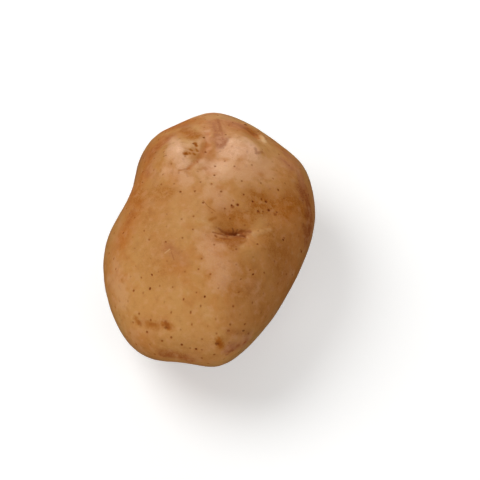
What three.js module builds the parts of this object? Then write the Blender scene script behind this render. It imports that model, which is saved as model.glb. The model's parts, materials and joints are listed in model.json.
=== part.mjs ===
// A table potato lying on its broad side: one solid tuber with its swellings, hollows and eyes.
// Millimetres, +Z up. The origin is on the table, under the middle of the tuber. +Y runs along its length
// to the rose end, where the eyes crowd together. The other end, where it hung on its stolon, is the heel.
import * as THREE from "three";
import { mergeVertices } from "three/addons/utils/BufferGeometryUtils.js";

const DEGREE = Math.PI / 180;
const FULL_TURN = 2 * Math.PI;
// Sides of the rim's plane, with the edge between them.
const FRONT = 1;
const EDGE = 0;
const BACK = -1;

// The rim is the tuber's widest outline, anticlockwise with the rose end up: [across, up] from its middle.
const RIM = [
  [0.5, 48.8],
  [-11.6, 44.6],
  [-22.4, 38.2],
  [-31, 23.5],
  [-38, 5],
  [-40.2, -11],
  [-36.7, -27.8],
  [-27.9, -41.5],
  [-13, -48],
  [1.5, -48.2],
  [11.2, -43.6],
  [24.5, -29],
  [36, -8],
  [40.3, 9.5],
  [36.7, 26.5],
  [27, 36.3],
  [13.1, 45.4],
];
const FRONT_SWELL = 33.5;
const BACK_SWELL = 32;
const FULLNESS = 0.92; // 1 is an ellipsoid, and less is boxier
const SLANT = -0.35; // how far the rose end of the rim leans to the back, per millimetre up

// The pose: the rim's plane rises from the table towards the rose end, and the length is turned onto +Y.
const RIM_RISE = 30 * DEGREE;
const TURN = 14 * DEGREE;
const FLAT_DEPTH = 0.9; // what the resting spot is short of a full round
const MESH_DETAIL = 20; // each side of an icosahedron's faces is cut into one more than this
const RIM_TENSION = 0.5; // of the curve through the rim's points
const RIM_STEPS = 720; // how finely that curve is walked
const NORMAL_STEP = 0.01; // how far apart the points are that give a normal, as a share of the radius

// Broad swellings and hollows: where on the rim's plane, on which side, how wide and how high.
const LUMPS = [
  { name: "left waist", side: EDGE, at: [-32.5, 14.5], radius: 11.5, height: -4.8 },
  { name: "heel notch", side: EDGE, at: [-9.5, -47.5], radius: 7.5, height: -3 },
  { name: "rose end knob", side: FRONT, at: [-10.5, 31], radius: 8.5, height: 4.2 },
  { name: "fold beside the knob", side: FRONT, at: [-0.5, 30], radius: 5, height: -0.8 },
  { name: "fold under the knob", side: FRONT, at: [-7.5, 20.5], radius: 5, height: -0.5 },
  { name: "right shoulder", side: FRONT, at: [17, 32], radius: 12, height: 1.2 },
  { name: "shoulder hump", side: FRONT, at: [13, 34.5], radius: 7.5, height: 1.7 },
  { name: "valley beside the knob", side: FRONT, at: [2, 31], radius: 7, height: -1.8 },
  { name: "left flank", side: FRONT, at: [-22, -14], radius: 18, height: 1.2 },
  { name: "front ridge", side: FRONT, at: [4, -14], radius: 13, height: 1.2 },
  { name: "valley right of the main eye", side: FRONT, at: [23, 12], radius: 10, height: -2.3 },
  { name: "right flank hollow", side: FRONT, at: [29, -5], radius: 8, height: -1.3 },
  { name: "heel hollow", side: FRONT, at: [-9, -43.5], radius: 8, height: -1 },
  { name: "heel lobe", side: FRONT, at: [7, -38], radius: 10, height: 1 },
  { name: "back shoulder", side: BACK, at: [-14, 24], radius: 15, height: 1.6 },
  { name: "back waist", side: BACK, at: [18, 14], radius: 13, height: -1.6 },
  { name: "back heel", side: BACK, at: [-16, -30], radius: 12, height: -1.4 },
  { name: "back ridge", side: BACK, at: [22, -12], radius: 14, height: 1.3 },
];

// Eyes: a hollow that slopes in from the rose end down to a crease, with a low brow on its heel side.
const EYES = [
  { name: "main eye", side: FRONT, at: [10, 2.9], width: 7.5, slope: 8, depth: 3.3, turn: 0 },
  { name: "knob eye", side: FRONT, at: [-8, 33], width: 4, slope: 3.6, depth: 1, turn: -30 },
  { name: "shoulder eye", side: FRONT, at: [18.5, 38.6], width: 5, slope: 4, depth: 1.4, turn: 60 },
  { name: "row eye", side: FRONT, at: [-21, -31.5], width: 6, slope: 4, depth: 0.6, turn: 0 },
  { name: "left back eye", side: BACK, at: [-22, 6], width: 6, slope: 6, depth: 2, turn: 12 },
  { name: "right back eye", side: BACK, at: [20, -20], width: 6.5, slope: 6, depth: 2, turn: -10 },
  { name: "rose back eye", side: BACK, at: [10, 33], width: 5, slope: 5, depth: 1.6, turn: 8 },
  { name: "heel back eye", side: BACK, at: [-6, -39], width: 5, slope: 4, depth: 1.2, turn: 0 },
  { name: "left side eye", side: BACK, at: [-36, -9], width: 5.5, slope: 5.5, depth: 1.9, turn: 5 },
  { name: "right side eye", side: BACK, at: [36.5, 1], width: 5.5, slope: 5, depth: 1.7, turn: -8 },
  { name: "rose side eye", side: BACK, at: [-9, 39.5], width: 5, slope: 4.5, depth: 1.7, turn: 10 },
];
const CREASE_SHARE = 0.5; // the crease's heel wall is this much as long as its slope
const BROW_SHARE = 0.16; // the brow is this much as high as the eye is deep
const EYE_DEPTH_LIMIT = 15; // a hollow doesn't reach skin that lies further under its eye than this

// The rim's radius at an angle round its middle, read off a smooth closed curve through its points.
function makeRimRadius(outline) {
  const corners = outline.map(([across, up]) => new THREE.Vector3(across, up, 0));
  const curve = new THREE.CatmullRomCurve3(corners, true, "catmullrom", RIM_TENSION);
  const walk = curve.getPoints(RIM_STEPS).map((p) => [Math.atan2(p.y, p.x), Math.hypot(p.x, p.y)]);
  walk.pop();
  walk.sort((a, b) => a[0] - b[0]);
  const [first, last] = [walk[0], walk.at(-1)];
  const round = [[last[0] - FULL_TURN, last[1]], ...walk, [first[0] + FULL_TURN, first[1]]];
  return (angle) => {
    const next = round.findIndex(([a]) => a > angle);
    const [before, after] = [round[next - 1], round[next]];
    const share = (angle - before[0]) / (after[0] - before[0]);
    return THREE.MathUtils.lerp(before[1], after[1], share);
  };
}
const rimRadius = makeRimRadius(RIM);

// The smooth body's skin in a direction from its middle: the rim, swollen to the front and the back.
function bodyPoint(direction) {
  const angle = Math.atan2(direction.y, direction.x);
  const reach = rimRadius(angle) * Math.hypot(direction.x, direction.y) ** FULLNESS;
  const swell = direction.z > 0 ? FRONT_SWELL : BACK_SWELL;
  const up = reach * Math.sin(angle);
  const out = Math.sign(direction.z) * Math.abs(direction.z) ** FULLNESS * swell;
  return new THREE.Vector3(reach * Math.cos(angle), up, out + SLANT * up);
}

// The direction from the middle to the skin over a place on the rim's plane, on one side or at the edge.
function directionTo([across, up], side) {
  const angle = Math.atan2(up, across);
  const share = Math.hypot(across, up) / rimRadius(angle);
  const level = side === EDGE ? 1 : share ** (1 / FULLNESS);
  const out = side * Math.sqrt(1 - level ** 2);
  return new THREE.Vector3(level * Math.cos(angle), level * Math.sin(angle), out);
}

// The outward normal of the smooth body, from three points close together on it.
function bodyNormal(direction) {
  const aside = new THREE.Vector3(0, 0, 1).cross(direction).normalize();
  const along = new THREE.Vector3().crossVectors(direction, aside);
  const here = bodyPoint(direction);
  const toAside = bodyPoint(direction.clone().addScaledVector(aside, NORMAL_STEP).normalize()).sub(here);
  const toAlong = bodyPoint(direction.clone().addScaledVector(along, NORMAL_STEP).normalize()).sub(here);
  return toAside.cross(toAlong).normalize();
}

const bell = (distance, width) => Math.exp(-((distance / width) ** 2));

// How far a lump lifts the skin at a point of the smooth body.
function makeLump({ side, at, radius, height }) {
  const centre = bodyPoint(directionTo(at, side));
  return (point) => height * bell(point.distanceTo(centre), radius);
}

// How far an eye lifts the skin at a point of the smooth body: down in its hollow, and up along its brow.
function makeEye({ side, at, width, slope, depth, turn }) {
  const direction = directionTo(at, side);
  const centre = bodyPoint(direction);
  const normal = bodyNormal(direction);
  const up = new THREE.Vector3(0, 1, 0).projectOnPlane(normal).normalize();
  up.applyAxisAngle(normal, turn * DEGREE);
  const across = new THREE.Vector3().crossVectors(up, normal);
  const heelWall = slope * CREASE_SHARE;
  return (point) => {
    const offset = point.clone().sub(centre);
    if (offset.dot(normal) < -EYE_DEPTH_LIMIT) return 0;
    const sideways = bell(offset.dot(across), width);
    const above = offset.dot(up);
    const hollow = bell(above, above > 0 ? slope : heelWall);
    const brow = bell(above + 2 * heelWall, heelWall);
    return depth * sideways * (BROW_SHARE * brow - hollow);
  };
}

// The tuber's skin: an even net of triangles, pushed out to the body, then along its normals by the forms.
function tuberGeometry() {
  const net = new THREE.IcosahedronGeometry(1, MESH_DETAIL);
  net.deleteAttribute("normal");
  net.deleteAttribute("uv");
  const skin = mergeVertices(net);
  const forms = [...LUMPS.map(makeLump), ...EYES.map(makeEye)];
  const places = skin.attributes.position;
  const direction = new THREE.Vector3();
  for (let i = 0; i < places.count; i++) {
    direction.fromBufferAttribute(places, i).normalize();
    const point = bodyPoint(direction);
    const lift = forms.reduce((sum, form) => sum + form(point), 0);
    point.addScaledVector(bodyNormal(direction), lift);
    places.setXYZ(i, point.x, point.y, point.z);
  }
  return skin;
}

// Lays the tuber on the table, with its length along +Y and the lowest skin pressed flat at height 0.
function layDown(skin) {
  skin.rotateX(RIM_RISE);
  skin.rotateZ(TURN);
  skin.computeBoundingBox();
  const middle = skin.boundingBox.getCenter(new THREE.Vector3());
  skin.translate(-middle.x, -middle.y, -skin.boundingBox.min.z - FLAT_DEPTH);
  const places = skin.attributes.position;
  for (let i = 0; i < places.count; i++) {
    places.setZ(i, Math.max(places.getZ(i), 0));
  }
  return skin;
}

const skinMaterial = new THREE.MeshStandardMaterial({ color: "#b9854f", roughness: 0.5, metalness: 0 });
const tuber = new THREE.Mesh(layDown(tuberGeometry()), skinMaterial);
tuber.name = "potato";

const potato = new THREE.Group();
potato.add(tuber);

export default potato;
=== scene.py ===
"""The looks of a table potato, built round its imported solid: its skin, eyes, pores and marks, and a stage.

Laid out as a Blender add-on and run as a script. Metres, +Z up, in the solid's own frame.
"""

import json
import math
from functools import reduce
from itertools import chain
from typing import NamedTuple

import bpy
from bpy.props import FloatProperty, FloatVectorProperty, IntProperty, PointerProperty
from mathutils import Color, Matrix, Vector
from mathutils.bvhtree import BVHTree

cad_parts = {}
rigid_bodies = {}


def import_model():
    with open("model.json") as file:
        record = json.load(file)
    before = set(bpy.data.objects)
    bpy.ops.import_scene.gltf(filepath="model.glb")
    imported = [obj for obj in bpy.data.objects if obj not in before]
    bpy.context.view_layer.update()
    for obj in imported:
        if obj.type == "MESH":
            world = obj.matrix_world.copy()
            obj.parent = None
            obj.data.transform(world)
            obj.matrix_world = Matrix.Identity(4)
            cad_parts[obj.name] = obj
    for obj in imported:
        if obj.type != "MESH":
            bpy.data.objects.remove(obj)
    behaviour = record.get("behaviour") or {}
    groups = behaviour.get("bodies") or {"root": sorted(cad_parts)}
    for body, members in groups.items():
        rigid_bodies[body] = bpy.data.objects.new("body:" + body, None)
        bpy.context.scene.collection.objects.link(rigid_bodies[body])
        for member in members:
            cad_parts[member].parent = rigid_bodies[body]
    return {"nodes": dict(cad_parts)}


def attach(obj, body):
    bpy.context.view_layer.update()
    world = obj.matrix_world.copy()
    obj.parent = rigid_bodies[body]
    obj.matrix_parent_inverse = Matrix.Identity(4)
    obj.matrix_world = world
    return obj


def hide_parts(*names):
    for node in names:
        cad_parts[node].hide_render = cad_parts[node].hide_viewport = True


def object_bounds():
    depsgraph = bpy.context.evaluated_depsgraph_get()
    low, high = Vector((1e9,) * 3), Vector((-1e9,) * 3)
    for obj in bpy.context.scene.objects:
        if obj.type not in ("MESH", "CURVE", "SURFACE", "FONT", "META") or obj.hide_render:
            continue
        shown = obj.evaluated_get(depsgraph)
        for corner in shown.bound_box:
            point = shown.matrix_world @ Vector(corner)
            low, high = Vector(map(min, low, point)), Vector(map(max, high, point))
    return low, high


bl_info = {
    "name": "Table Potato",
    "version": (1, 0, 0),
    "blender": (4, 5, 0),
    "location": "3D View > Sidebar > Potato",
    "description": "Makes a potato's skin round its solid, and a stage to show it on",
    "category": "Object",
}

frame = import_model()
CAD_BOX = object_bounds()
MIDDLE = (CAD_BOX[0] + CAD_BOX[1]) / 2
SOLID = frame["nodes"]["potato"]

MM = 0.001
LAMP_DISTANCE = 0.8  # from the tuber's middle, in metres
FLOOR_ROUGHNESS = 0.8
WHITE = (1, 1, 1, 1)
BYTE = 255  # the largest share of red, green or blue on a screen
PICTURE = 480  # the photograph's width and height, in pixels
TUBER_MIDDLE = (209.5, 238.2)  # the pixel where the middle of the tuber's box shows


def skin_colour(name, description, on_screen):
    """A property for a colour of the skin, with its default as it is written for a screen."""
    shares = [share / BYTE for share in bytes.fromhex(on_screen.lstrip("#"))]
    default = tuple(Color(shares).from_srgb_to_scene_linear())
    return FloatVectorProperty(name=name, description=description, subtype="COLOR", default=default)


class Eye(NamedTuple):
    """An eye of the tuber. It lies at a pixel of the photograph, or near a point in millimetres."""

    name: str
    width: float  # half the crease's length, in millimetres
    depth: float  # the crease's depth, in millimetres
    turn: float  # of the crease, in degrees, anticlockwise
    tint: float  # how strongly it is coloured
    pixel: tuple = None
    point: tuple = None


EYES = [
    Eye("main eye", 6, 0.5, 0, 0.5, pixel=(233.5, 233.5)),
    Eye("knob eye", 2.4, 0.3, -30, 0.08, pixel=(190, 150)),
    Eye("shoulder eye", 3.4, 0.6, -39, 0.8, pixel=(252, 132)),
    Eye("row eye", 5, 0.1, -4, 0.12, pixel=(153, 324)),
    Eye("left back eye", 4.5, 0.7, 12, 0.9, point=(-26.2, 14.2, 7)),
    Eye("right back eye", 5, 0.7, -10, 0.9, point=(21.7, -4, 5.8)),
    Eye("rose back eye", 4, 0.6, 8, 0.9, point=(-1.5, 47.6, 15.3)),
    Eye("heel back eye", 3.5, 0.5, 0, 0.8, point=(1.4, -30.2, 3.3)),
    Eye("left side eye", 4.6, 0.7, 5, 0.9, point=(-34.7, -9.5, 13.4)),
    Eye("right side eye", 4.4, 0.7, -8, 0.9, point=(33.5, 16.7, 17.9)),
    Eye("rose side eye", 4, 0.6, 10, 0.9, point=(-20.9, 46.6, 21.9)),
]
# An eye's forms, in half lengths of its crease. A pair is where a form begins and ends to run out.
EYE_REACH = (1.8, 2.4)
CREASE_BOW = 0.25  # how far a crease's ends bend up
CREASE_WIDTH = 0.13
CREASE_ENDS = (0.65, 1.15)
LIP_DROP = 0.33  # from the crease down to the lip's crest
LIP_WIDTH = 0.24
LIP_ENDS = (0.4, 1.1)
LIP_SHARE = 0.15  # the lip's height, in crease depths


class Mark(NamedTuple):
    """A mark on the skin between two pixels of the photograph. Its radius and rise are in millimetres."""

    name: str
    start: tuple
    end: tuple
    radius: float
    strength: float  # how fully it covers, and above 1 it has no thin places
    rise: float = 0


# Patches and marks by their tone, in the order in which they are painted.
PATCHES = {
    "straw": [
        Mark("top", (200, 180), (262, 184), 8, 0.6),
        Mark("middle", (186, 215), (200, 272), 7, 0.5),
        Mark("lower middle", (132, 298), (200, 308), 11, 0.6),
    ],
    "blush": [
        Mark("front ridge", (208, 240), (222, 276), 6.5, 0.5),
        # Painted light: the left edge's blush stands for its lit rim, and the blush on the knob and the
        # shoulder is partly pinker skin and partly painted highlight.
        Mark("left edge", (116, 268), (122, 300), 5, 0.3),
        Mark("knob's left", (173, 146), (181, 163), 4.6, 1),
        Mark("knob's upper left", (170, 140), (176, 146), 3.2, 1),
        Mark("knob's foot", (167, 169), (184, 178), 4.4, 0.7),
        Mark("shoulder's top", (229, 147), (247, 152), 6.5, 1.2),
        Mark("shoulder", (212, 170), (264, 170), 7, 0.55),
        Mark("above the scratch", (214, 192), (224, 206), 5, 0.45),
    ],
    "orange": [
        Mark("whole right side", (294, 175), (288, 285), 12, 0.6),
        Mark("whole upper left", (148, 162), (132, 200), 8, 0.8),
        Mark("whole top", (165, 130), (250, 124), 6, 0.95),
        Mark("left of the knob", (154, 150), (162, 142), 5.6, 1),
        # Painted shade: this orange darkens the valley between the knob and the crown.
        Mark("right of the knob", (208, 152), (206, 127), 3.4, 0.65),
        Mark("left waist", (123, 238), (136, 206), 5.5, 0.8),
        Mark("middle left", (168, 270), (182, 268), 3.4, 0.35),
    ],
    "ochre": [
        Mark("whole left", (146, 198), (160, 268), 9, 0.34),
        Mark("whole heel", (150, 346), (222, 350), 8, 0.3),
        Mark("upper left flank", (138, 198), (164, 194), 5.4, 0.6),
        Mark("lower flank", (250, 272), (262, 312), 7, 0.4),
        Mark("under the front ridge", (236, 290), (258, 288), 5.4, 0.5),
        Mark("over the knob", (184, 131), (193, 136), 3.8, 1),
        Mark("shoulder groove", (245, 128), (258, 137), 2.6, 1),
        # Painted shade: the ochre above the main eye and in its hollow darkens where the skin slopes down
        # into the crease.
        Mark("above the main eye", (226, 216), (249, 217), 5.6, 0.75),
        Mark("main eye's hollow", (221, 223), (229, 229), 2.8, 0.6),
        # Partly brown skin and partly painted shade of the shallow valley right of the main eye.
        Mark("right of the main eye", (256, 205), (302, 210), 7, 0.95),
        Mark("right flank", (274, 234), (278, 268), 8, 0.6),
        Mark("main eye's lip", (217, 239.5), (243, 240), 2.2, 0.8),
        Mark("main eye's lip, lower", (229, 242), (233, 249), 2.8, 0.75),
    ],
    "russet": [
        Mark("left of the knob, core", (155, 150), (167, 139), 4.8, 0.5),
        Mark("over the knob, core", (186, 129), (192, 134), 2.4, 0.35),
        Mark("left waist's edge", (126, 226), (132, 212), 2, 0.3),
        Mark("main eye's edge", (222, 233), (248, 233), 2.2, 0.55),
        # The right rim is red-brown skin, darkened further by painted shade along the edge.
        Mark("right rim", (304, 190), (309, 236), 5, 1),
        Mark("right rim's foot", (304, 226), (307, 238), 2, 0.8),
        Mark("heel, left", (164, 354), (188, 358), 3.2, 0.75),
        Mark("heel, right and upper", (229, 332), (248, 333), 1.9, 0.45),
        Mark("heel, far right", (230, 350), (245, 342), 2.6, 0.5),
        # Painted shade along the upper left edge.
        Mark("upper left edge", (137, 172), (131, 192), 2.4, 0.4),
    ],
    "mauve": [
        Mark("crown", (216, 121), (219, 143), 3.4, 0.95),
        Mark("crown's right", (231, 123), (241, 126), 3.4, 0.9),
        Mark("top edge", (198, 117), (214, 114), 2.2, 0.6),
        Mark("under the knob's left", (148, 168), (156, 178), 3, 0.4),
        Mark("right shoulder", (284, 160), (291, 167), 3.2, 0.9),
        Mark("upper right rim", (297, 169), (303, 186), 2.6, 0.7),
        Mark("heel, right", (228, 350), (246, 341), 3.6, 0.8),
        Mark("beside the pale flake", (168, 249), (182, 258), 3.4, 0.4),
    ],
}
MARKS = {
    "ochre": [
        Mark("left scar, upper lobe", (136, 319), (138, 322), 1.7, 0.7, -0.15),
        Mark("middle scar", (148, 324), (157, 326), 2.2, 0.62, -0.2),
        Mark("right scar", (164, 324), (169.4, 327), 2.3, 0.7),
        Mark("scab", (219, 340.6), (220.8, 346.2), 2.2, 0.9, 0.2),
        Mark("smudge", (210, 219.8), (215.4, 217.8), 0.9, 0.6),
        # Painted shade along the foot of the knob's fold, over a shallow cut.
        Mark("knob's fold, foot", (189, 168.5), (179, 170.6), 0.6, 0.5, -0.15),
        Mark("knob's big pit", (185, 153.7), (186.4, 153.4), 1.2, 1, -0.35),
        Mark("knob's upper pit", (195.6, 143.8), (196.2, 146), 1, 1, -0.3),
        Mark("knob's right pit", (196.6, 149.6), (197.2, 150.8), 0.8, 0.9, -0.2),
        Mark("knob's middle pit", (190.6, 149.8), (191.8, 150.6), 0.65, 0.9, -0.15),
        Mark("knob's low pit", (193.6, 153.6), (194.4, 154.4), 0.7, 0.9, -0.15),
        Mark("knob's left pit", (189.2, 153), (190.2, 153.8), 0.6, 0.8, -0.1),
    ],
    "brown": [
        Mark("left scar, lower lobe", (139.2, 322.6), (140.6, 325), 1.2, 0.4, -0.15),
        Mark("middle scar's spots", (150, 324), (155.5, 325), 0.7, 0.3),
        Mark("right scar's core", (166, 322.6), (168, 327), 1.2, 0.6, -0.25),
        Mark("scab's core", (217.8, 342.4), (220, 344.6), 1.2, 0.55),
        Mark("scratch, upper", (203, 200.5), (208, 206.5), 0.3, 0.4, -0.06),
        Mark("scratch, lower", (208, 206.5), (215, 211.3), 0.3, 0.4, -0.06),
        Mark("left scratch", (171.4, 252), (174, 260), 0.3, 0.35, -0.05),
        Mark("knob's big pit's core", (185.2, 153.7), (186, 153.6), 0.6, 0.7),
        Mark("knob's upper pit's core", (195.8, 144), (196.2, 145.6), 0.5, 0.7),
        Mark("knob's left dash", (163.6, 156.4), (166.2, 155.4), 0.35, 0.5),
        Mark("main eye's crease, left", (218.6, 228.4), (226, 234), 0.6, 0.5, -0.2),
        Mark("main eye's crease", (226, 234), (236, 234.8), 0.9, 0.8, -0.35),
        Mark("main eye's crease, right", (236, 234), (242, 230.8), 0.8, 0.6, -0.25),
        Mark("main eye's crease, end", (242, 230.8), (250.5, 231.8), 0.7, 0.5, -0.2),
        Mark("main eye's fold, upper", (213, 232.3), (228, 236.4), 0.5, 0.6, -0.15),
        Mark("main eye's fold, lower", (220, 238.2), (230, 239.4), 0.5, 0.45, -0.12),
        Mark("main eye's fold, right", (238.5, 236), (244.5, 236), 0.9, 0.65, -0.2),
        Mark("main eye's spot", (215.2, 235.8), (216.6, 236.8), 0.6, 0.7, -0.15),
        Mark("main eye's hatch, left", (229, 230.6), (227, 237), 0.45, 0.6, -0.1),
        Mark("main eye's hatch, end", (241, 233.4), (245.6, 237.6), 0.5, 0.6, -0.1),
        Mark("lip's speck", (230, 245.4), (233, 247), 0.5, 0.35),
        Mark("rough speck, upper left", (227.8, 330.6), (229, 330.8), 0.6, 0.7),
        Mark("rough speck, far right", (248, 333.4), (249, 333.8), 0.5, 0.6),
        Mark("rough speck, middle", (237.2, 346), (239, 345.4), 0.9, 0.5, 0.15),
        Mark("rough speck, right", (244.4, 342.4), (245.6, 342), 0.7, 0.5, 0.1),
        Mark("rough speck, low", (229.4, 351.6), (231.4, 350.6), 1.1, 0.5, 0.2),
        Mark("rough speck, lowest", (226.4, 354.8), (227.6, 354.4), 0.8, 0.45, 0.1),
    ],
    "dark": [
        Mark("right scar's pit", (165.2, 327.6), (166.2, 327.6), 0.6, 0.4, -0.15),
        Mark("scab's pit", (216.6, 343.8), (217.8, 343.6), 0.7, 0.6, -0.4),
        Mark("nub on the edge", (244.4, 124.6), (246, 124.8), 0.55, 0.8, 0.5),
        Mark("main eye's hatch, middle", (232.6, 228.6), (234.6, 236), 0.45, 0.6, -0.12),
        Mark("main eye's hatch, right", (237.4, 229.8), (235.6, 235), 0.45, 0.55, -0.1),
        Mark("main eye's pit", (230, 234.8), (236.4, 234), 0.8, 0.75, -0.15),
        Mark("main eye's pit, right", (239.8, 235.8), (243, 236.2), 0.5, 0.4, -0.1),
        Mark("rough speck, upper right", (243, 330.6), (243.8, 330.8), 0.55, 0.7),
    ],
    "pale": [
        Mark("pale flake", (165, 253), (169.5, 249.5), 0.4, 0.5, 0.1),
        # Painted highlight along the knob's lit rim.
        Mark("knob's rim", (172.6, 137.5), (173.6, 146), 0.9, 0.3, 0.1),
        Mark("bud in the shoulder eye", (262, 136.5), (264.5, 141), 1.6, 0.7, 0.6),
        Mark("main eye's bud", (237.6, 234.5), (238.6, 234.8), 0.5, 0.55, 0.25),
        # These two pale lines are painted light on the raised ridges beside the main eye.
        Mark("main eye's right ridge", (253, 234.4), (270, 229.6), 1.3, 0.2, 0.25),
        Mark("main eye's left ridge", (198, 220.5), (211, 225), 1.1, 0.15, 0.2),
    ],
    "orange": [
        # The knob's folds are cut into the skin and also painted with shade along them.
        Mark("knob's fold, upper", (207.5, 133), (207, 146), 1.6, 0.5, -0.3),
        Mark("knob's fold, right", (207, 146), (199.5, 158), 1.5, 0.5, -0.3),
        Mark("knob's fold, lower", (199.5, 158), (189, 168.5), 1.3, 0.6, -0.28),
    ],
    "russet": [
        Mark("ring spot's side", (255.4, 148.6), (256.4, 153), 0.9, 0.5, 0.1),
        Mark("ring spot's foot", (256.4, 153), (262, 152), 0.9, 0.5, 0.1),
        Mark("crown's upper vein", (217.6, 119), (221.4, 131), 0.8, 0.35, -0.1),
        Mark("crown's lower vein", (222, 147), (229, 137), 1.2, 0.35),
        Mark("main eye's core", (227, 233.4), (240, 233.4), 1.4, 0.35),
    ],
}
BIG_PORES = [
    (265.9, 201.4), (268.4, 210.3), (258.4, 211.9), (275, 214.4),
    (237.4, 204.9), (232.6, 207), (253.4, 202.4), (283.3, 240.4),
    (278.6, 190), (253.8, 273.7), (181.4, 345), (197.2, 349),
    (149.6, 288), (151, 274), (205.4, 298), (301.4, 251),
]
RIMMED_PORES = 6  # the first of them have a brown rim
RIM_HALF = 0.4  # half the length of a rim's middle line, in pixels
RIM_RADIUS = 0.75  # in millimetres
RIM_STRENGTH = 0.7
MARKS["brown"] += [
    Mark("pore's rim", (x - RIM_HALF, y), (x + RIM_HALF, y), RIM_RADIUS, RIM_STRENGTH)
    for x, y in BIG_PORES[:RIMMED_PORES]
]
CORKY = ("ochre", "mauve", "russet", "brown", "dark")  # the tones of corky skin, which is dull

# The skin's net and relief.
CUBE = (2, 2, 2)  # the net starts as a cube that reaches 1 each way
EIGHTH_TURN = math.pi / 4  # as angles up to this, the cube's net spreads evenly over a ball
NET_SHARE = 0.82  # the share of the tuber's extents that the net's steps are counted along
RAY_LENGTH = 1  # longer than any tuber, in metres
PORE_CROWDING = 1.4  # random pores that are tried in each square of their spacing
SMALL_PORES = (0.3, 0.85)  # the random pores' sizes, as shares of a big pore's
PORE_RIM_SCALE = 0.9
PORE_RIM_TONE = 0.75
PORE_PIT_SCALE = 0.62
NOISE_MIDDLE = 0.5  # what cloudy noise varies about
RIPPLE_HEIGHT = 0.25  # of the ripples on the waves, in wave heights
RIPPLE_LENGTH = 0.3  # in wave lengths
LOWEST = (-1, -1, 0)  # no skin goes under the floor

# Clouds over the skin: their size in millimetres, and how many finer sizes they hold.
MIDDLING = (11, 3)
BLOTCH = (5, 4)
MOTTLE = (2.4, 4)
FRAYS = (0.9, 3)
GRAIN = (0.55, 3)
SPECKS = (0.25, 2)
EYE_CLOUDS = (2.2, 4)
EYE_GRAIN = (0.8, 3)
SEEN_EDGE = (-6, 8)  # where the photographed side begins and is full, in millimetres towards the camera


class Wash(NamedTuple):
    """A tone in clouds over the whole skin: none where the noise is at start, and the most at full."""

    tone: str
    cloud: tuple
    start: float
    full: float
    near: float  # how strong it is on the photographed side
    far: float  # how strong it is on the other side


UNDER_PATCHES = [
    Wash("straw", (30, 2), 0.4, 0.6, 1, 1),
    Wash("blush", MIDDLING, 0.52, 0.7, 0.18, 0.18),
    Wash("orange", (17, 4), 0.5, 0.66, 0.2, 0.7),
    Wash("mauve", (13, 5), 0.58, 0.68, 0, 0.7),
    Wash("russet", (21, 5), 0.56, 0.68, 0, 0.6),
]
OVER_PATCHES = [
    Wash("orange", BLOTCH, 0.48, 0.68, 0.22, 0.22),
    Wash("russet", MOTTLE, 0.52, 0.72, 0.2, 0.2),
    Wash("blush", MOTTLE, 0.5, 0.3, 0.16, 0.16),
    Wash("brown", GRAIN, 0.5, 0.75, 0.1, 0.1),
]

# The edges of patches and marks begin and end at these radii, and clouds fray them by so many radii.
PATCH_EDGE = (0.2, 1.25)
PATCH_FRAY = ((BLOTCH, 1.8), (MOTTLE, 1.2))
MARK_EDGE = (0.2, 1.15)
MARK_FRAY = ((FRAYS, 1.1),)
PATCH_LEAST = 0.6  # how fully a patch covers where its grain is thinnest
PATCH_GRAIN = (0.4, 0.65)  # the noise where its grain is thinnest and thickest

# How pores are painted, by the attribute pore, which is 1 at the bottom of a big one.
PORE_SPREAD = 1.1
PORE_BROWN = 0.85
PORE_CORE = (0.7, 1)
PORE_DARK = 0.5

# The skin's finish: satin, uneven by clouds, dull where it is corky, over flesh that lets some light in.
SATIN = 0.45
UNEVEN = ((MIDDLING, 0.1), (MOTTLE, 0.14))
DULLNESS = 0.6
SPECULAR = 0.35
BUMPS = ((MOTTLE, 0.6), (GRAIN, 0.3), (SPECKS, 0.15))
BUMP_STRENGTH = 0.35
BUMP_HEIGHT = 0.3 * MM
FLESH_SHARE = 0.08
FLESH_REDNESS = (1, 0.45, 0.2)
FLESH_DEPTH = 1.2 * MM

# How an eye is painted: lengths in half lengths of its crease, tones as strengths.
# A pair is where an edge begins and ends.
CREASE_WAVER = 0.12
# The hollow's tone is painted shade above the crease.
HOLLOW_LEAN = 0.25
HOLLOW_WIDTH = 1
HOLLOW_FOOT = (-0.1, 0.15)
HOLLOW_TOP = (0.1, 1.7)
HOLLOW_TONE = 0.85
STAIN_SHIFT = 0.05
STAIN_WIDTH = 1.2
STAIN_NARROWING = 0.85  # on its way down
STAIN_LEAST = 0.05
STAIN_FRAY = 0.9
STAIN_SIDES = (0.5, 1.15)
STAIN_TOP = (-0.15, 0.1)
STAIN_FOOT = (-1.35, -0.9)
STAIN_FOOT_FRAY = 0.5
STAIN_TONE = 0.6
FOLD_PITCH = 30  # radians in a half length
FOLD_WAVER = 16
FOLD_EDGE = (0.3, 1)
FOLD_DROP = 0.15
FOLD_SPREAD = (0.15, 0.45)
FOLD_ENDS = (0.8, 1.25)
FOLD_TONE = 0.35
# The crease's ink is partly the eye's own dark and partly painted shade inside it.
INK_DROP = 0.03
INK_WIDTH = 0.16
INK_SHIFT = 0.05
INK_FRAY = 0.5
INK_ENDS = (0.4, 1.1)
INK_COVER = 0.75  # how fully the crease is drawn
INK_BREAKS = 1.8
INK_DARK = (0.5, 1)
BUD_ALONG = 0.28
BUD_DROP = 0.06
BUD_WIDTH = 0.07
BUD_HEIGHT = 0.06
BUD_TONE = 0.7


class Lamp(NamedTuple):
    """A round softbox, placed as the camera is: azimuth and elevation in degrees, size in metres."""

    name: str
    azimuth: float
    elevation: float
    size: float
    sheen: bool = False  # whether it is only mirrored in the tuber, or else only lights it


LAMPS = [
    Lamp("key", 260, 53, 0.6),
    Lamp("front", 345, 10, 0.6),
    Lamp("back", 180, 10, 0.6),
    Lamp("side", 72, 22, 0.6),
    Lamp("sheen", 203, 30, 0.4, sheen=True),
]


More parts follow.
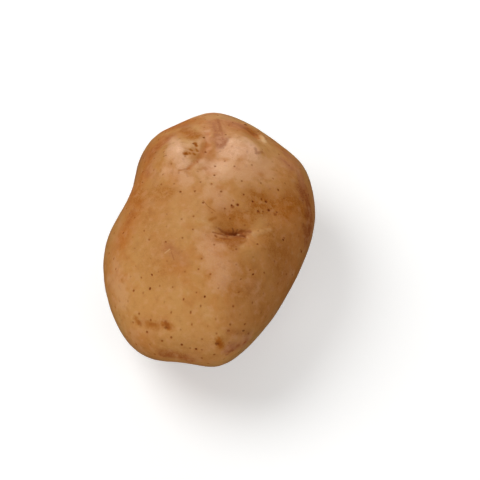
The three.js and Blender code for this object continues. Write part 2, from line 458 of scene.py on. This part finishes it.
class PotatoSizes(bpy.types.PropertyGroup):
    """The sizes that shape the skin."""

    net_step: FloatProperty(
        name="Net step",
        description="Side of the quads that the skin is made of, before they are cut in four",
        default=1.15 * MM,
        unit="LENGTH",
    )
    smoothing: IntProperty(
        name="Smoothing",
        description="How many times the skin is evened out over the solid's facets",
        default=14,
    )
    wave_length: FloatProperty(
        name="Wave length",
        description="Distance between the soft waves of the skin",
        default=9 * MM,
        unit="LENGTH",
    )
    wave_height: FloatProperty(
        name="Wave height", description="Height of those waves", default=0.45 * MM, unit="LENGTH"
    )
    pore_spacing: FloatProperty(
        name="Pore spacing",
        description="Least distance between two pores",
        default=4.2 * MM,
        unit="LENGTH",
    )
    pore_depth: FloatProperty(
        name="Pore depth", description="Depth of a full-sized pore", default=0.22 * MM, unit="LENGTH"
    )
    seed: IntProperty(name="Seed", description="Draws the places and sizes of the pores", default=7)


class PotatoColours(bpy.types.PropertyGroup):
    """The colours of the skin."""

    tan: skin_colour("Tan", "Most of the skin", "#c58647")
    straw: skin_colour("Straw", "Yellower skin", "#c79052")
    # Blush is pinker skin, and it is also the painted highlight on the knob and the shoulder.
    blush: skin_colour("Blush", "Pinker skin", "#e4b089")
    orange: skin_colour("Orange", "Rusty patches", "#bb6b28")
    # Ochre in the eyes' hollows is painted shade.
    ochre: skin_colour("Ochre", "Hollows and healed scars", "#a55d14")
    mauve: skin_colour("Mauve", "Pink-brown patches", "#b06f4c")
    russet: skin_colour("Russet", "Red-brown patches", "#944a1c")
    brown: skin_colour("Brown", "Pores, lips and scabs", "#8c420c")
    # Dark in creases and pits is partly painted shade.
    dark: skin_colour("Dark", "Creases and pits", "#642805")
    # Pale is also painted highlight: the knob's lit rim and the light on the main eye's raised ridges.
    pale: skin_colour("Pale", "Buds and flakes", "#dcb07a")


class PotatoStage(bpy.types.PropertyGroup):
    """The camera, the lamps and the floor."""

    azimuth: FloatProperty(
        name="Azimuth",
        description="Where the camera stands, anticlockwise from the heel",
        default=math.radians(14),
        subtype="ANGLE",
    )
    elevation: FloatProperty(
        name="Elevation",
        description="How steeply the camera looks down",
        default=math.radians(60),
        subtype="ANGLE",
    )
    lens: FloatProperty(name="Lens", description="Focal length", default=200, unit="CAMERA")
    sensor: FloatProperty(name="Sensor", description="Sensor width", default=36, unit="CAMERA")
    pixel: FloatProperty(
        name="Pixel",
        description="Size of a photograph's pixel at the tuber",
        default=0.38 * MM,
        unit="LENGTH",
    )
    key_power: FloatProperty(name="Key", description="Lamp at the upper left", default=4.2, unit="POWER")
    front_power: FloatProperty(name="Front", description="Low lamp in front", default=3.5, unit="POWER")
    back_power: FloatProperty(name="Back", description="Low lamp behind", default=3.6, unit="POWER")
    side_power: FloatProperty(name="Side", description="Lamp at the right", default=2.1, unit="POWER")
    sheen_power: FloatProperty(
        name="Sheen", description="Lamp behind that shows only as sheen", default=3.2, unit="POWER"
    )
    sheen_colour: FloatVectorProperty(
        name="Sheen colour", description="Colour of that lamp", subtype="COLOR", default=(1, 0.86, 0.7)
    )
    ambient: FloatProperty(name="Ambient", description="Light from all round", default=0.12)
    floor_size: FloatProperty(name="Floor", description="Side of the floor", default=40, unit="LENGTH")
    floor_glow: FloatProperty(name="Floor glow", description="Light that the floor gives", default=0.32)
    floor_colour: FloatVectorProperty(
        name="Floor colour", description="Pale floor", subtype="COLOR", default=(0.88, 0.88, 0.87)
    )


class Field:
    """A node's output that takes part in Python sums: each operator adds the node that works it out."""

    def __init__(self, tree, socket):
        self.tree = tree
        self.socket = socket

    def __add__(self, other):
        return self.tree.maths("ADD", self, other)

    __radd__ = __add__

    def __sub__(self, other):
        return self.tree.maths("SUBTRACT", self, other)

    def __rsub__(self, other):
        return self.tree.maths("SUBTRACT", other, self)

    def __mul__(self, other):
        return self.tree.maths("MULTIPLY", self, other)

    __rmul__ = __mul__

    def __truediv__(self, other):
        return self.tree.maths("DIVIDE", self, other)

    def __rtruediv__(self, other):
        return self.tree.maths("DIVIDE", other, self)

    def __abs__(self):
        return self.tree.maths("ABSOLUTE", self)

    def highest(self, other):
        """The larger of this and another."""
        return self.tree.maths("MAXIMUM", self, other)

    def step(self, low, high):
        """A smooth step from 0 at low to 1 at high."""
        sockets = {"Value": self, "From Min": low, "From Max": high}
        return self.tree.add("ShaderNodeMapRange", {"interpolation_type": "SMOOTHSTEP"}, sockets)

    def clamped(self):
        """Kept from 0 to 1."""
        return self.tree.add("ShaderNodeClamp", sockets={"Value": self})

    def bell(self, width):
        """1 where this is 0, falling off to both sides over width."""
        share = self / width
        return self.tree.maths("EXPONENT", share * share * -1)

    def dot(self, other):
        """Dot product of two vectors."""
        sockets = {0: self, 1: other}
        return self.tree.add("ShaderNodeVectorMath", {"operation": "DOT_PRODUCT"}, sockets, "Value")

    def length(self):
        """Length of a vector."""
        return self.tree.add("ShaderNodeVectorMath", {"operation": "LENGTH"}, {0: self}, "Value")

    def other(self, output):
        """Another output of the same node."""
        return Field(self.tree, self.socket.node.outputs[output])


class Tree:
    """Adds nodes to one node tree, of a material or of Geometry Nodes."""

    def __init__(self, node_tree):
        self.nodes = node_tree.nodes
        self.links = node_tree.links

    def add(self, kind, settings=None, sockets=None, output=0):
        """Adds a node, sets its settings, feeds its sockets values or links, and gives back one output."""
        node = self.nodes.new(kind)
        for name, value in (settings or {}).items():
            setattr(node, name, value)
        for key, value in (sockets or {}).items():
            self.feed(self.find(node.inputs, key), value)
        return Field(self, self.find(node.outputs, output)) if node.outputs else node

    def find(self, sockets, key):
        """A socket by its number, or the first one in use with that name."""
        if isinstance(key, int):
            return sockets[key]
        return next(s for s in sockets if s.name == key and s.enabled)

    def feed(self, socket, value):
        """Links a field to a socket, or sets the socket to a plain value."""
        if isinstance(value, Field):
            self.links.new(value.socket, socket)
        elif socket.type == "RGBA":
            socket.default_value = (*value[:3], 1)
        else:
            socket.default_value = value

    def is_vector(self, value):
        """Whether a field or a plain value is a vector."""
        if isinstance(value, Field):
            return value.socket.type == "VECTOR"
        return isinstance(value, Vector)

    def maths(self, operation, *values):
        """A sum of numbers or of vectors. A vector times a number is scaled."""
        vectors = [self.is_vector(value) for value in values]
        if not any(vectors):
            return self.add("ShaderNodeMath", {"operation": operation}, dict(enumerate(values)))
        if operation == "MULTIPLY" and not all(vectors):
            vector, scale = values if vectors[0] else values[::-1]
            return self.add("ShaderNodeVectorMath", {"operation": "SCALE"}, {0: vector, "Scale": scale})
        return self.add("ShaderNodeVectorMath", {"operation": operation}, dict(enumerate(values)))

    def mix(self, share, first, second):
        """A colour between two colours."""
        sockets = {"Factor": share, "A": first, "B": second}
        return self.add("ShaderNodeMix", {"data_type": "RGBA"}, sockets, "Result")

    def noise(self, place, size, detail=2.0):
        """Cloudy noise from 0 to 1, with clouds about as large as size."""
        sockets = {"Vector": place, "Scale": 1 / size, "Detail": detail}
        return self.add("ShaderNodeTexNoise", None, sockets)

    def away(self, place, start, end):
        """How far a place is from the line between two points."""
        way = end - start
        offset = place - start
        share = (offset.dot(way) / way.length_squared).clamped()
        return (offset - self.maths("MULTIPLY", way, share)).length()


def outward(azimuth, elevation):
    """The direction to a camera or a lamp. Azimuth 0 is at the heel, and the right is at a quarter turn."""
    level = math.cos(elevation)
    return Vector((math.sin(azimuth) * level, -math.cos(azimuth) * level, math.sin(elevation)))


class PhotoView:
    """The camera's place and directions, such that the tuber shows where the photograph has it."""

    def __init__(self, stage):
        self.back = outward(stage.azimuth, stage.elevation)
        self.right = Vector((math.cos(stage.azimuth), math.sin(stage.azimuth), 0))
        self.up = self.back.cross(self.right)
        self.opening = stage.sensor / stage.lens
        self.distance = PICTURE * stage.pixel / self.opening
        aside, above = self.from_centre(TUBER_MIDDLE)
        aim = MIDDLE - (self.right * aside + self.up * above) * PICTURE * stage.pixel
        self.place = aim + self.back * self.distance

    def from_centre(self, pixel):
        """How far a pixel lies right of and above the picture's centre, in picture widths."""
        return pixel[0] / PICTURE - 0.5, 0.5 - pixel[1] / PICTURE

    def find(self, surface, pixel):
        """The point and the normal of a surface that show at a pixel, or lie nearest to its ray."""
        aside, above = self.from_centre(pixel)
        ray = (self.right * aside + self.up * above) * self.opening - self.back
        point, normal, _, _ = surface.ray_cast(self.place, ray)
        if point is None:
            point, normal, _, _ = surface.find_nearest(self.place + ray * self.distance)
        return point, normal


def surface_of(mesh):
    """A mesh as a surface that rays can be cast at."""
    corners = [v.co for v in mesh.vertices]
    return BVHTree.FromPolygons(corners, [p.vertices for p in mesh.polygons])


def points_object(name, points, attributes=None):
    """A hidden object of loose points that Geometry Nodes read, with an attribute list for each name."""
    mesh = bpy.data.meshes.new(name)
    mesh.from_pydata(points, [], [])
    for attribute, values in (attributes or {}).items():
        vectors = isinstance(values[0], Vector)
        layer = mesh.attributes.new(attribute, "FLOAT_VECTOR" if vectors else "FLOAT", "POINT")
        for item, value in zip(layer.data, values):
            if vectors:
                item.vector = value
            else:
                item.value = value
    made = bpy.data.objects.new(name, mesh)
    bpy.context.scene.collection.objects.link(made)
    return made


def eye_points(view, solid):
    """The eyes as points on the solid, each with its own directions and sizes."""
    points, across, up = [], [], []
    for eye in EYES:
        if eye.pixel:
            point, normal = view.find(solid, eye.pixel)
        else:
            point, normal, _, _ = solid.find_nearest(Vector(eye.point) * MM)
        upward = (view.up - normal * view.up.dot(normal)).normalized()
        upward.rotate(Matrix.Rotation(math.radians(eye.turn), 3, normal))
        points.append(point)
        up.append(upward)
        across.append(upward.cross(normal))
    values = {
        "across": across,
        "up": up,
        "width": [eye.width * MM for eye in EYES],
        "depth": [eye.depth * MM for eye in EYES],
        "tint": [eye.tint for eye in EYES],
    }
    return points_object("eyes", points, values)


class SkinTree(Tree):
    """The Geometry Nodes tree that makes the skin, with its inputs by name."""

    def __init__(self, name):
        self.group = bpy.data.node_groups.new(name, "GeometryNodeTree")
        super().__init__(self.group)
        self.ids = {}
        self.group.interface.new_socket("Geometry", in_out="OUTPUT", socket_type="NodeSocketGeometry")

    def input(self, name, kind):
        """A named input of the tree."""
        socket = self.group.interface.new_socket(name, in_out="INPUT", socket_type=f"NodeSocket{kind}")
        self.ids[name] = socket.identifier
        return self.add("NodeGroupInput", output=name)

    def input_geometry(self, name):
        """The geometry of an object that is a named input."""
        return self.add("GeometryNodeObjectInfo", None, {"Object": self.input(name, "Object")}, "Geometry")

    def value_at(self, geometry, kind, index, value):
        """A value read from another geometry at an index."""
        sockets = {"Geometry": geometry, "Value": value, "Index": index}
        return self.add("GeometryNodeSampleIndex", {"data_type": kind}, sockets)

    def attribute(self, name, kind):
        """A named attribute of the geometry."""
        return self.add("GeometryNodeInputNamedAttribute", {"data_type": kind}, {"Name": name})

    def store(self, geometry, name, kind, value, **more):
        """Keeps a value on the geometry's points under a name."""
        sockets = {"Geometry": geometry, "Name": name, "Value": value, **more}
        return self.add("GeometryNodeStoreNamedAttribute", {"data_type": kind}, sockets)

    def moved(self, geometry, **sockets):
        """The geometry with its points moved."""
        return self.add("GeometryNodeSetPosition", None, {"Geometry": geometry, **sockets})


def build_net(tree):
    """A net of quads, drawn out from the middle onto the solid and evened over its facets."""
    size = tree.input("Size", "Vector")
    counts = {f"Vertices {axis}": tree.input(f"Count {axis}", "Int") for axis in "XYZ"}
    net = tree.add("GeometryNodeMeshCube", None, {"Size": CUBE, **counts})
    place = tree.add("GeometryNodeInputPosition")
    ball = tree.add("ShaderNodeVectorMath", {"operation": "TANGENT"}, {0: place * EIGHTH_TURN})
    ball = tree.add("ShaderNodeVectorMath", {"operation": "NORMALIZE"}, {0: ball})
    rays = {
        "Target Geometry": tree.input_geometry("Solid"),
        "Source Position": tree.input("Middle", "Vector"),
        "Ray Direction": ball * size,
        "Ray Length": RAY_LENGTH,
    }
    hit = tree.add("GeometryNodeRaycast", None, rays, "Hit Position")
    net = tree.moved(net, Position=hit)
    smoothing = tree.input("Smoothing", "Int")

    def evened(value):
        sockets = {"Value": value, "Iterations": smoothing}
        return tree.add("GeometryNodeBlurAttribute", {"data_type": "FLOAT_VECTOR"}, sockets)

    place = tree.add("GeometryNodeInputPosition")
    even = evened(place)
    lost = evened(place - even)
    return tree.moved(net, Position=even + lost)


def cut_pores(tree, net, chosen, offset, scale, tone):
    """Cuts a smaller face into each chosen one, offset along its normal, and keeps its tone as pore."""
    sockets = {"Mesh": net, "Selection": chosen, "Offset Scale": offset, "Individual": True}
    cut = tree.add("GeometryNodeExtrudeMesh", {"mode": "FACES"}, sockets)
    top = cut.other("Top")
    net = tree.add("GeometryNodeScaleElements", None, {"Geometry": cut, "Selection": top, "Scale": scale})
    return tree.store(net, "pore", "FLOAT", tone, Selection=top), top


def build_pores(tree, net):
    """Sinks a pit into the quad under each pore, and marks it in the attribute pore."""
    seed = tree.input("Seed", "Int")
    scatter = {
        "Mesh": net,
        "Distance Min": tree.input("Pore spacing", "Float"),
        "Density Max": tree.input("Pore density", "Float"),
        "Seed": seed,
    }
    apart = {"distribute_method": "POISSON"}
    random_points = tree.add("GeometryNodeDistributePointsOnFaces", apart, scatter)
    smallest, largest = SMALL_PORES
    draw = {"Min": smallest, "Max": largest, "Seed": seed}
    drawn_size = tree.add("FunctionNodeRandomValue", {"data_type": "FLOAT"}, draw, "Value")
    random_points = tree.store(random_points, "size", "FLOAT", drawn_size)
    chosen = tree.add("GeometryNodeMeshToPoints", None, {"Mesh": tree.input_geometry("Big pores")})
    chosen = tree.store(chosen, "size", "FLOAT", 1.0)
    points = tree.add("GeometryNodeJoinGeometry", None, {"Geometry": random_points})
    tree.feed(points.socket.node.inputs[0], chosen)
    under = tree.add("GeometryNodeSampleNearest", {"domain": "FACE"}, {"Geometry": net})
    points = tree.store(points, "face", "INT", under)

    nearest = tree.add("GeometryNodeSampleNearest", None, {"Geometry": points})
    face = tree.value_at(points, "INT", nearest, tree.attribute("face", "INT"))
    pore_size = tree.value_at(points, "FLOAT", nearest, tree.attribute("size", "FLOAT"))
    own = {"A": face, "B": tree.add("GeometryNodeInputIndex")}
    is_pore = tree.add("FunctionNodeCompare", {"data_type": "INT", "operation": "EQUAL"}, own)
    net = tree.add("GeometryNodeCaptureAttribute", {"domain": "FACE"}, {"Geometry": net})
    net.socket.node.capture_items.new("FLOAT", "Size")
    tree.feed(net.socket.node.inputs["Size"], pore_size)
    size = net.other("Size")
    net, rim = cut_pores(tree, net, is_pore, 0.0, PORE_RIM_SCALE * size, PORE_RIM_TONE * size)
    sink = tree.input("Pore depth", "Float") * size * -1
    net, _ = cut_pores(tree, net, rim, sink, PORE_PIT_SCALE, size)
    return tree.add("GeometryNodeSubdivisionSurface", None, {"Mesh": net, "Level": 1})


def build_relief(tree, skin, view, solid):
    """Raises waves, the eyes' creases and lips, and the marks. Keeps each place in its eye as eye."""
    place = tree.add("GeometryNodeInputPosition")
    eyes = tree.input_geometry("Eyes")
    nearest = tree.add("GeometryNodeSampleNearest", None, {"Geometry": eyes})

    def of_eye(name, kind):
        return tree.value_at(eyes, kind, nearest, tree.attribute(name, kind))

    centre = tree.value_at(eyes, "FLOAT_VECTOR", nearest, tree.add("GeometryNodeInputPosition"))
    offset = (place - centre) * (1 / of_eye("width", "FLOAT"))
    along = offset.dot(of_eye("across", "FLOAT_VECTOR"))
    above = offset.dot(of_eye("up", "FLOAT_VECTOR"))
    reach = 1 - offset.length().step(*EYE_REACH)
    tint = reach * of_eye("tint", "FLOAT")
    in_eye = tree.add("ShaderNodeCombineXYZ", None, {"X": along, "Y": above, "Z": tint})
    skin = tree.store(skin, "eye", "FLOAT_VECTOR", in_eye)

    line = above - CREASE_BOW * along * along
    crease = line.bell(CREASE_WIDTH) * (1 - abs(along).step(*CREASE_ENDS))
    lip = (line + LIP_DROP).bell(LIP_WIDTH) * (1 - abs(along).step(*LIP_ENDS))
    eye_lift = reach * of_eye("depth", "FLOAT") * (LIP_SHARE * lip - crease)
    wave_length = tree.input("Wave length", "Float")
    ripple = RIPPLE_HEIGHT * tree.noise(place, wave_length * RIPPLE_LENGTH)
    wave = tree.noise(place, wave_length) + ripple - (1 + RIPPLE_HEIGHT) * NOISE_MIDDLE
    lift = eye_lift + wave * tree.input("Wave height", "Float")
    for mark in chain.from_iterable(MARKS.values()):
        if mark.rise:
            start, end = (view.find(solid, pixel)[0] for pixel in (mark.start, mark.end))
            lift += mark.rise * MM * tree.away(place, start, end).bell(mark.radius * MM)
    skin = tree.moved(skin, Offset=tree.add("GeometryNodeInputNormal") * lift)
    sockets = {0: tree.add("GeometryNodeInputPosition"), 1: LOWEST}
    settled = tree.add("ShaderNodeVectorMath", {"operation": "MAXIMUM"}, sockets)
    return tree.moved(skin, Position=settled)


def skin_tree(view, solid):
    """The whole tree: net, pores, relief, then one smooth mesh with its material."""
    tree = SkinTree("potato skin")
    skin = build_relief(tree, build_pores(tree, build_net(tree)), view, solid)
    skin = tree.add("GeometryNodeSetShadeSmooth", None, {"Geometry": skin})
    skin = tree.add("GeometryNodeRealizeInstances", None, {"Geometry": skin})
    sockets = {"Geometry": skin, "Material": tree.input("Material", "Material")}
    skin = tree.add("GeometryNodeSetMaterial", None, sockets)
    tree.add("NodeGroupOutput", None, {"Geometry": skin})
    return tree


def make_skin_mesh(sizes, view, material):
    """Runs the tree once and gives back the skin as a plain mesh."""
    solid = surface_of(SOLID.data)
    eyes = eye_points(view, solid)
    pores = points_object("big pores", [view.find(solid, pixel)[0] for pixel in BIG_PORES])
    low, high = CAD_BOX
    values = {
        "Size": (high - low) / 2,
        "Middle": MIDDLE,
        "Solid": SOLID,
        "Smoothing": sizes.smoothing,
        "Seed": sizes.seed,
        "Pore spacing": sizes.pore_spacing,
        "Pore density": PORE_CROWDING / sizes.pore_spacing**2,
        "Pore depth": sizes.pore_depth,
        "Big pores": pores,
        "Eyes": eyes,
        "Wave length": sizes.wave_length,
        "Wave height": sizes.wave_height,
        "Material": material,
    }
    for axis, extent in zip("XYZ", high - low):
        values[f"Count {axis}"] = round(extent * NET_SHARE / sizes.net_step) + 1
    maker = bpy.data.objects.new("skin maker", bpy.data.meshes.new("skin maker"))
    bpy.context.scene.collection.objects.link(maker)
    tree = skin_tree(view, solid)
    modifier = maker.modifiers.new("skin", "NODES")
    modifier.node_group = tree.group
    for name, value in values.items():
        modifier[tree.ids[name]] = value
    mesh = bpy.data.meshes.new_from_object(maker.evaluated_get(bpy.context.evaluated_depsgraph_get()))
    for helper in (maker, eyes, pores):
        bpy.data.objects.remove(helper)
    mesh.materials.pop(index=0)  # the empty slot that the net began with
    return mesh


class SkinPaint(Tree):
    """The skin's material, painted over places in millimetres."""

    def __init__(self, material, colours, view, surface):
        material.use_nodes = True
        super().__init__(material.node_tree)
        self.nodes.clear()
        self.colours = colours
        self.view = view
        self.surface = surface
        self.place = self.add("ShaderNodeTexCoord", output="Object") * (1 / MM)
        self.pore = self.add("ShaderNodeAttribute", {"attribute_name": "pore"}, output="Fac")
        self.dull = self.pore  # where the skin is dull
        self.far = 1 - (self.place - MIDDLE / MM).dot(view.back).step(*SEEN_EDGE)
        self.made = {}

    def clouds(self, cloud):
        """Noise over the skin, made once for each kind of cloud."""
        if cloud not in self.made:
            self.made[cloud] = self.noise(self.place, *cloud)
        return self.made[cloud]

    def heap(self, weights):
        """A weighted sum of clouds about their middle, from pairs of a cloud and its weight."""
        parts = ((self.clouds(cloud) - NOISE_MIDDLE) * weight for cloud, weight in weights)
        return reduce(Field.__add__, parts)

    def wash(self, colour, washes):
        """Washes tones over a colour, one after the other."""
        for wash in washes:
            strength = wash.near + (wash.far - wash.near) * self.far
            share = self.clouds(wash.cloud).step(wash.start, wash.full) * strength
            colour = self.mix(share, colour, getattr(self.colours, wash.tone))
        return colour

    def cover(self, mark, ragged, edge):
        """How fully a mark covers the skin, with its edge made ragged."""
        start, end = (self.view.find(self.surface, pixel)[0] / MM for pixel in (mark.start, mark.end))
        distance = self.away(self.place, start, end) / mark.radius + ragged
        return (1 - distance.step(*edge)) * mark.strength

    def paint(self, colour, marks, ragged, edge, patchiness=1):
        """Paints marks over a colour, one tone after the other, and makes corky ones dull."""
        for tone, group in marks.items():
            whole = reduce(Field.highest, (self.cover(mark, ragged, edge) for mark in group))
            colour = self.mix(whole * patchiness, colour, getattr(self.colours, tone))
            if tone in CORKY:
                self.dull = self.dull.highest(whole)
        return colour


def paint_eyes(paint, colour):
    """Paints shade into each eye's hollow, tints its lip, and draws its folds, bud and crease, whose dark is
    partly painted shade. Lip and crease are dull.
    """
    c = paint.colours
    eye = paint.add("ShaderNodeAttribute", {"attribute_name": "eye"}, output="Vector")
    split = paint.add("ShaderNodeSeparateXYZ", None, {"Vector": eye})
    along, above, tint = split, split.other("Y"), split.other("Z")
    ragged = paint.clouds(EYE_CLOUDS) - NOISE_MIDDLE
    fine = paint.clouds(EYE_GRAIN) - NOISE_MIDDLE
    line = above - CREASE_BOW * along * along + fine * CREASE_WAVER
    # The hollow above the crease is tinted ochre as painted shade.
    leaning = (along - HOLLOW_LEAN * above).bell(HOLLOW_WIDTH)
    hollow = leaning * line.step(*HOLLOW_FOOT) * (1 - (line + ragged).step(*HOLLOW_TOP))
    colour = paint.mix(tint * hollow * HOLLOW_TONE, colour, c.ochre)
    width = (STAIN_WIDTH + above * STAIN_NARROWING).highest(STAIN_LEAST)
    taper = abs(along + STAIN_SHIFT) / width + ragged * STAIN_FRAY
    lip = (1 - line.step(*STAIN_TOP)) * (1 - taper.step(*STAIN_SIDES))
    lip *= (above + ragged * STAIN_FOOT_FRAY).step(*STAIN_FOOT)
    colour = paint.mix(tint * lip * STAIN_TONE, colour, c.brown)
    wrinkle = paint.maths("SINE", line * FOLD_PITCH + ragged * FOLD_WAVER).step(*FOLD_EDGE)
    folds = wrinkle * (1 - abs(line + FOLD_DROP).step(*FOLD_SPREAD)) * (1 - abs(along).step(*FOLD_ENDS))
    colour = paint.mix(tint * folds * FOLD_TONE, colour, c.brown)
    # The crease is drawn brown, then dark at its core: partly the eye's own dark and partly painted shade.
    broken = (INK_COVER + fine * INK_BREAKS).clamped()
    ends = 1 - abs(along + fine * INK_FRAY - INK_SHIFT).step(*INK_ENDS)
    crease = tint * (line + INK_DROP).bell(INK_WIDTH) * ends * broken
    colour = paint.mix(crease, colour, c.brown)
    colour = paint.mix(crease.step(*INK_DARK), colour, c.dark)
    bud = tint * (along - BUD_ALONG).bell(BUD_WIDTH) * (above + BUD_DROP).bell(BUD_HEIGHT)
    colour = paint.mix(bud * BUD_TONE, colour, c.pale)
    paint.dull = paint.dull.highest(tint * lip + crease)
    return colour


def paint_skin(material, colours, view, surface):
    """The skin: tan with yellow, pink and rusty clouds, red-brown patches, eyes, scars and pores, with
    painted highlights and painted shade among the patches and eyes.
    """
    paint = SkinPaint(material, colours, view, surface)
    colour = paint.wash(colours.tan, UNDER_PATCHES)
    thick = (paint.clouds(MOTTLE) + paint.clouds(GRAIN) - NOISE_MIDDLE).step(*PATCH_GRAIN)
    patchiness = PATCH_LEAST + (1 - PATCH_LEAST) * thick
    colour = paint.paint(colour, PATCHES, paint.heap(PATCH_FRAY), PATCH_EDGE, patchiness)
    colour = paint.wash(colour, OVER_PATCHES)
    colour = paint_eyes(paint, colour)
    colour = paint.paint(colour, MARKS, paint.heap(MARK_FRAY), MARK_EDGE)
    colour = paint.mix((paint.pore * PORE_SPREAD).clamped() * PORE_BROWN, colour, colours.brown)
    colour = paint.mix(paint.pore.step(*PORE_CORE) * PORE_DARK, colour, colours.dark)

    bumps = {"Strength": BUMP_STRENGTH, "Distance": BUMP_HEIGHT, "Height": paint.heap(BUMPS)}
    sockets = {
        "Base Color": colour,
        "Roughness": SATIN + paint.heap(UNEVEN) + DULLNESS * paint.dull.clamped(),
        "Normal": paint.add("ShaderNodeBump", None, bumps),
        "Specular IOR Level": SPECULAR,
        "Subsurface Weight": FLESH_SHARE,
        "Subsurface Radius": FLESH_REDNESS,
        "Subsurface Scale": FLESH_DEPTH,
    }
    shader = paint.add("ShaderNodeBsdfPrincipled", None, sockets)
    paint.add("ShaderNodeOutputMaterial", None, {"Surface": shader})


class POTATO_OT_make_skin(bpy.types.Operator):
    """Make the tuber's skin round the solid, with its eyes, pores and marks"""

    bl_idname = "potato.make_skin"
    bl_label = "Make skin"

    def execute(self, context):
        view = PhotoView(context.scene.potato_stage)
        material = bpy.data.materials.new("potato skin")
        mesh = make_skin_mesh(context.scene.potato_sizes, view, material)
        paint_skin(material, context.scene.potato_colours, view, surface_of(mesh))
        skin = bpy.data.objects.new("potato_skin", mesh)
        context.scene.collection.objects.link(skin)
        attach(skin, "root")
        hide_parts("potato")
        return {"FINISHED"}


class POTATO_OT_make_stage(bpy.types.Operator):
    """Make the floor, the lamps and the camera"""

    bl_idname = "potato.make_stage"
    bl_label = "Make stage"

    def execute(self, context):
        stage = context.scene.potato_stage
        self.make_camera(context, stage)
        self.make_floor(context, stage)
        for lamp in LAMPS:
            self.make_lamp(context, stage, lamp)
        world = bpy.data.worlds.new("surround")
        world.use_nodes = True
        world.node_tree.nodes["Background"].inputs["Color"].default_value = WHITE
        world.node_tree.nodes["Background"].inputs["Strength"].default_value = stage.ambient
        world.cycles_visibility.glossy = False
        context.scene.world = world
        context.scene.view_settings.view_transform = "Standard"
        return {"FINISHED"}

    def make_camera(self, context, stage):
        """The camera, placed so that the tuber shows as in the photograph."""
        view = PhotoView(stage)
        camera = bpy.data.objects.new("camera", bpy.data.cameras.new("camera"))
        camera.data.lens = stage.lens
        camera.data.sensor_width = stage.sensor
        camera.location = view.place
        camera.rotation_euler = view.back.to_track_quat("Z", "Y").to_euler()
        context.scene.collection.objects.link(camera)
        context.scene.camera = camera

    def make_floor(self, context, stage):
        """A pale floor that shows shadows, but casts no light on the tuber."""
        half = stage.floor_size / 2
        mesh = bpy.data.meshes.new("floor")
        corners = [(-half, -half, 0), (half, -half, 0), (half, half, 0), (-half, half, 0)]
        mesh.from_pydata(corners, [], [(0, 1, 2, 3)])
        material = bpy.data.materials.new("floor")
        material.use_nodes = True
        shader = material.node_tree.nodes["Principled BSDF"]
        shader.inputs["Base Color"].default_value = (*stage.floor_colour, 1)
        shader.inputs["Roughness"].default_value = FLOOR_ROUGHNESS
        shader.inputs["Emission Color"].default_value = WHITE
        shader.inputs["Emission Strength"].default_value = stage.floor_glow
        mesh.materials.append(material)
        floor = bpy.data.objects.new("floor", mesh)
        floor.visible_diffuse = False
        floor.visible_glossy = False
        context.scene.collection.objects.link(floor)

    def make_lamp(self, context, stage, lamp):
        """One lamp, turned to the tuber. It either lights the tuber or is mirrored in it as sheen."""
        data = bpy.data.lights.new(lamp.name, "AREA")
        data.shape = "DISK"
        data.size = lamp.size
        data.energy = getattr(stage, f"{lamp.name}_power")
        if lamp.sheen:
            data.color = stage.sheen_colour
        softbox = bpy.data.objects.new(lamp.name, data)
        way = outward(math.radians(lamp.azimuth), math.radians(lamp.elevation))
        softbox.location = MIDDLE + way * LAMP_DISTANCE
        softbox.rotation_euler = way.to_track_quat("Z", "Y").to_euler()
        softbox.visible_diffuse = not lamp.sheen
        softbox.visible_glossy = lamp.sheen
        context.scene.collection.objects.link(softbox)


class POTATO_PT_panel(bpy.types.Panel):
    """Lists the potato's values and what makes its pieces"""

    bl_idname = "POTATO_PT_panel"
    bl_label = "Potato"
    bl_space_type = "VIEW_3D"
    bl_region_type = "UI"
    bl_category = "Potato"

    def draw(self, context):
        scene = context.scene
        for values in (scene.potato_sizes, scene.potato_colours, scene.potato_stage):
            box = self.layout.box()
            for name in values.__annotations__:
                box.prop(values, name)
        for operator in (POTATO_OT_make_stage, POTATO_OT_make_skin):
            self.layout.operator(operator.bl_idname)


GROUPS = {"potato_sizes": PotatoSizes, "potato_colours": PotatoColours, "potato_stage": PotatoStage}
CLASSES = (*GROUPS.values(), POTATO_OT_make_skin, POTATO_OT_make_stage, POTATO_PT_panel)


def register():
    for cls in CLASSES:
        bpy.utils.register_class(cls)
    for name, group in GROUPS.items():
        setattr(bpy.types.Scene, name, PointerProperty(type=group))


def unregister():
    for name in GROUPS:
        delattr(bpy.types.Scene, name)
    for cls in reversed(CLASSES):
        bpy.utils.unregister_class(cls)


def main():
    register()
    bpy.ops.potato.make_stage()
    bpy.ops.potato.make_skin()


if __name__ == "__main__":
    main()
